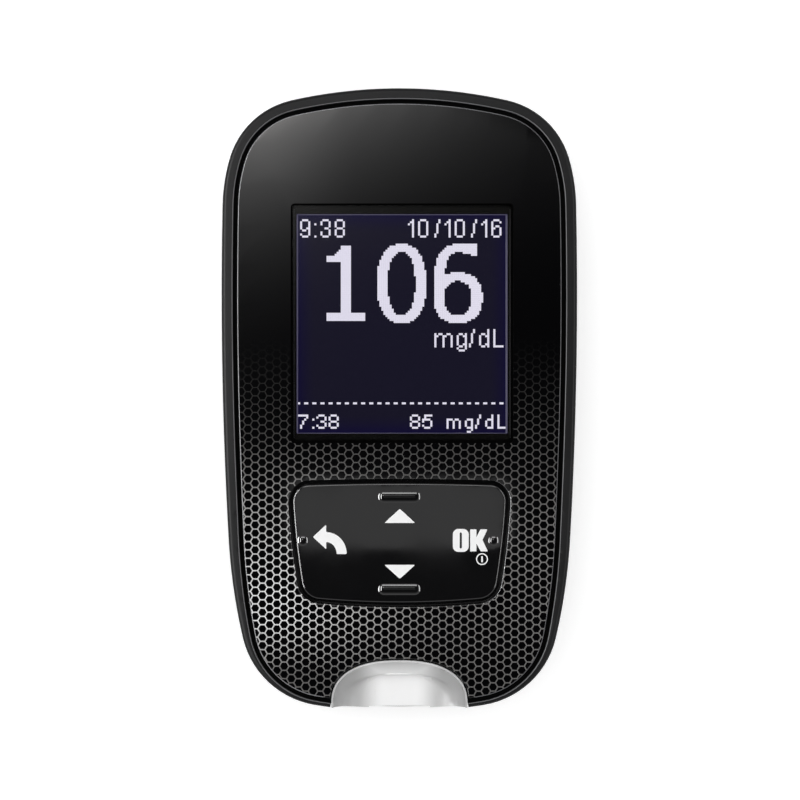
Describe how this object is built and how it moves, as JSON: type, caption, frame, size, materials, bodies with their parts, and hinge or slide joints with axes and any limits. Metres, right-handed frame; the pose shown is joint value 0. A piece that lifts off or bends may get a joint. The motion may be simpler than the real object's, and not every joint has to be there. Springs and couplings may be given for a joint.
{
  "type": "blood glucose meter",
  "caption": "Hand-held blood glucose meter with a square display, a rocking key plate, a lit strip port, a strip ejector and a coin-cell door on the back.",
  "frame": {"origin": "middle of the flat back, where the meter lies on a table", "axes": "+Z out of the display, +Y towards the display end, +X to the right as the display is read"},
  "size_m": [0.0462, 0.0812, 0.0196],
  "materials": {
    "rim_plastic": "satin moulded",
    "case_plastic": "fine texture, moulded",
    "panel_black": "gloss, printed behind",
    "adhesive": "matt",
    "lens_clear": "polished",
    "foam": "matt foam",
    "lcd_glass": "polished",
    "white_plastic": "satin moulded",
    "backlight": "diffusing film",
    "ribbon": "satin film",
    "board_green": "solder mask",
    "screw_steel": "bright",
    "chip_plastic": "matt",
    "tin_plate": "tinned",
    "part_ceramic": "matt",
    "dome_steel": "bright",
    "silicone": "matt",
    "key_black": "gloss",
    "port_frosted": "frosted, translucent",
    "lamp": "clear resin",
    "connector_plastic": "matt",
    "gold_contact": "gold plated",
    "cell_steel": "nickel plated",
    "spring_contact": "tinned",
    "button_plastic": "satin moulded",
    "spring_steel": "bright"
  },
  "bodies": {
    "housing": {"front_housing": "rim_plastic", "rear_housing": "case_plastic", "fascia_panel": "panel_black", "fascia_tape": "adhesive", "display_lens": "lens_clear", "lens_gasket": "foam", "lcd_glass": "lcd_glass", "lcd_frame": "white_plastic", "backlight_panel": "backlight", "lcd_ribbon": "ribbon", "circuit_board": "board_green", "board_screws": "screw_steel", "microcontroller": "chip_plastic", "radio_module": "tin_plate", "board_parts": "part_ceramic", "beeper": "chip_plastic", "dome_switches": "dome_steel", "keypad_mat": "silicone", "strip_port": "port_frosted", "port_lamps": "lamp", "strip_connector": "connector_plastic", "strip_contacts": "gold_contact", "usb_shell": "tin_plate", "usb_tongue": "connector_plastic", "inner_cell": "cell_steel", "outer_cell": "cell_steel", "positive_contact": "spring_contact", "negative_contact": "spring_contact", "button_guide": "white_plastic", "lever_pin": "screw_steel", "ejector_spring": "spring_steel"},
    "rocker": {"rocker_hub": "silicone"},
    "keys": {"key_plate": "key_black"},
    "door": {"battery_door": "case_plastic", "door_pad": "foam"},
    "button": {"ejector_button": "button_plastic"},
    "lever": {"ejector_lever": "white_plastic"},
    "pusher": {"strip_pusher": "white_plastic"}
  },
  "joints": [
    {"name": "key_up_down", "type": "hinge", "parent": "housing", "child": "rocker", "pos_m": [0, -0.01855, 0.01725], "axis": [1, 0, 0], "range_deg": [-2.5, 2.5], "stiffness_Nm_per_rad": 0.3, "deforming": ["keypad_mat"]},
    {"name": "key_back_ok", "type": "hinge", "parent": "rocker", "child": "keys", "pos_m": [0, -0.01855, 0.01725], "axis": [0, 1, 0], "range_deg": [-1.5, 1.5], "stiffness_Nm_per_rad": 0.3},
    {"name": "door_hinge", "type": "hinge", "parent": "housing", "child": "door", "pos_m": [0, 0.0301, 0.0015], "axis": [1, 0, 0], "range_deg": [0, 75]},
    {"name": "eject_press", "type": "slide", "parent": "housing", "child": "button", "axis": [-1, 0, 0], "range_m": [0, 0.00163], "stiffness_N_per_m": 800, "deforming": ["ejector_spring"]},
    {"name": "lever_turn", "type": "hinge", "parent": "housing", "child": "lever", "pos_m": [0.01, -0.02695, 0.0146], "axis": [0, 0, 1], "range_deg": [0, 18.74]},
    {"name": "pusher_slide", "type": "slide", "parent": "housing", "child": "pusher", "axis": [0, -1, 0], "range_m": [0, 0.0028]}
  ],
  "couplings": [
    {"joint": "lever_turn", "follows": "eject_press", "rad_per_m": 200.9},
    {"joint": "pusher_slide", "follows": "eject_press", "ratio": 1.7199}
  ]
}
